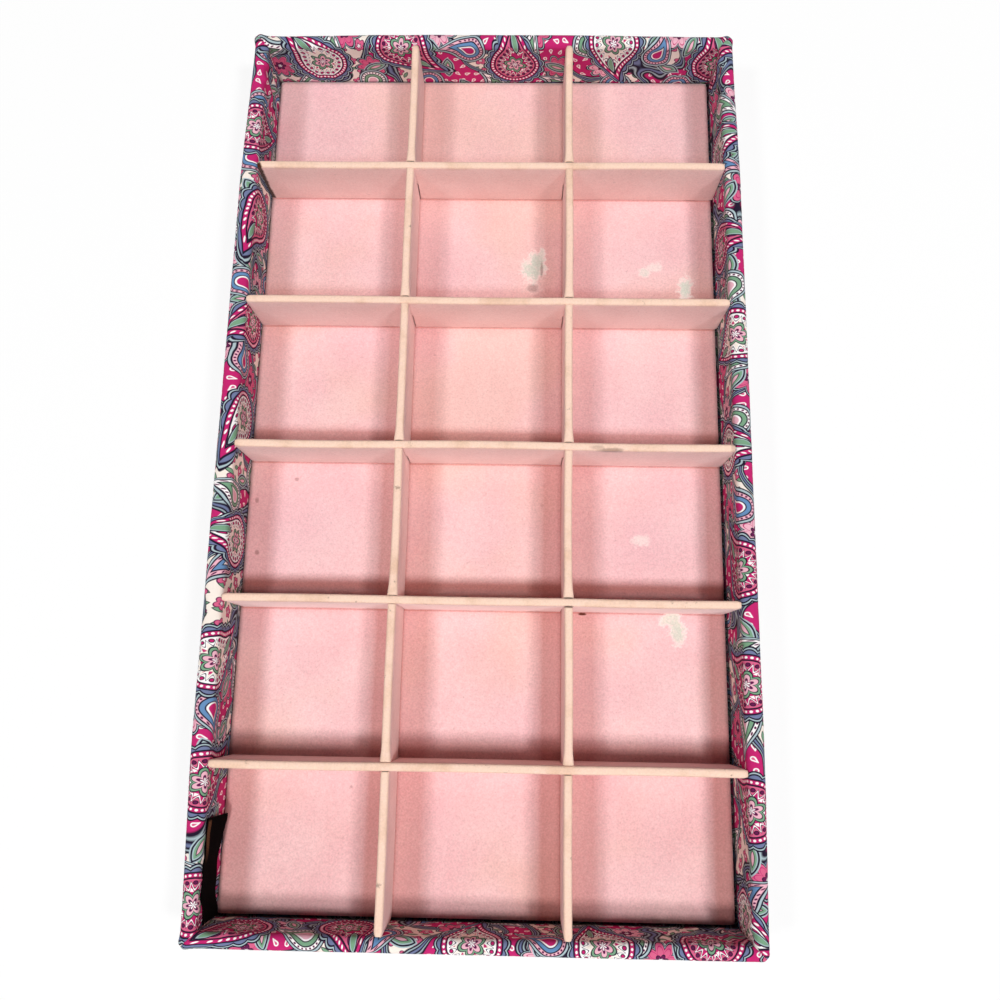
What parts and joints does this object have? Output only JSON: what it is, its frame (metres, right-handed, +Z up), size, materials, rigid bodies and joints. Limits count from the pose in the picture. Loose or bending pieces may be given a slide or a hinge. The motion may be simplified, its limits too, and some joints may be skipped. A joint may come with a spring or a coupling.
{
  "type": "jewelry tray",
  "caption": "Shallow cloth-covered tray with mitred fabric walls, a pink velour floor and a lift-out grid of slotted velour dividers forming small open compartments.",
  "frame": {"origin": "middle of the underside, on the surface that the tray stands on", "axes": "+X across the width to the right, +Y along the length to the back, +Z up"},
  "size_m": [0.21, 0.374, 0.0306],
  "materials": {
    "greyboard": "raw grey board",
    "wadding": "soft needled felt",
    "printed_cotton": "plain-weave cotton with a traditional paisley print",
    "pink_velour": "short-nap pink velour paper",
    "lining_paper": "matte lining paper",
    "black_ribbon": "woven ribbon, plain"
  },
  "bodies": {
    "tray": {"base_board": "greyboard", "underside_sheet": "lining_paper", "floor_card": "greyboard", "floor_velour": "pink_velour", "woven_tag": "black_ribbon", "front_wall_board": "greyboard", "front_wadding": "wadding", "front_cotton_wrap": "printed_cotton", "back_wall_board": "greyboard", "back_wadding": "wadding", "back_cotton_wrap": "printed_cotton", "left_wall_board": "greyboard", "left_wadding": "wadding", "left_cotton_wrap": "printed_cotton", "right_wall_board": "greyboard", "right_wadding": "wadding", "right_cotton_wrap": "printed_cotton"},
    "long_dividers": {"long_divider_left_board": "greyboard", "long_divider_left_velour": "pink_velour", "long_divider_right_board": "greyboard", "long_divider_right_velour": "pink_velour"},
    "cross_divider_1": {"cross_divider_1_board": "greyboard", "cross_divider_1_velour": "pink_velour"},
    "cross_divider_2": {"cross_divider_2_board": "greyboard", "cross_divider_2_velour": "pink_velour"},
    "cross_divider_3": {"cross_divider_3_board": "greyboard", "cross_divider_3_velour": "pink_velour"},
    "cross_divider_4": {"cross_divider_4_board": "greyboard", "cross_divider_4_velour": "pink_velour"},
    "cross_divider_5": {"cross_divider_5_board": "greyboard", "cross_divider_5_velour": "pink_velour"}
  },
  "joints": [
    {"name": "grid_lift", "type": "slide", "parent": "tray", "child": "long_dividers", "axis": [0, 0, 1], "range_m": [0, 0.035]},
    {"name": "cross_divider_1_lift", "type": "slide", "parent": "long_dividers", "child": "cross_divider_1", "axis": [0, 0, 1], "range_m": [0, 0.03]},
    {"name": "cross_divider_2_lift", "type": "slide", "parent": "long_dividers", "child": "cross_divider_2", "axis": [0, 0, 1], "range_m": [0, 0.03]},
    {"name": "cross_divider_3_lift", "type": "slide", "parent": "long_dividers", "child": "cross_divider_3", "axis": [0, 0, 1], "range_m": [0, 0.03]},
    {"name": "cross_divider_4_lift", "type": "slide", "parent": "long_dividers", "child": "cross_divider_4", "axis": [0, 0, 1], "range_m": [0, 0.03]},
    {"name": "cross_divider_5_lift", "type": "slide", "parent": "long_dividers", "child": "cross_divider_5", "axis": [0, 0, 1], "range_m": [0, 0.03]}
  ]
}
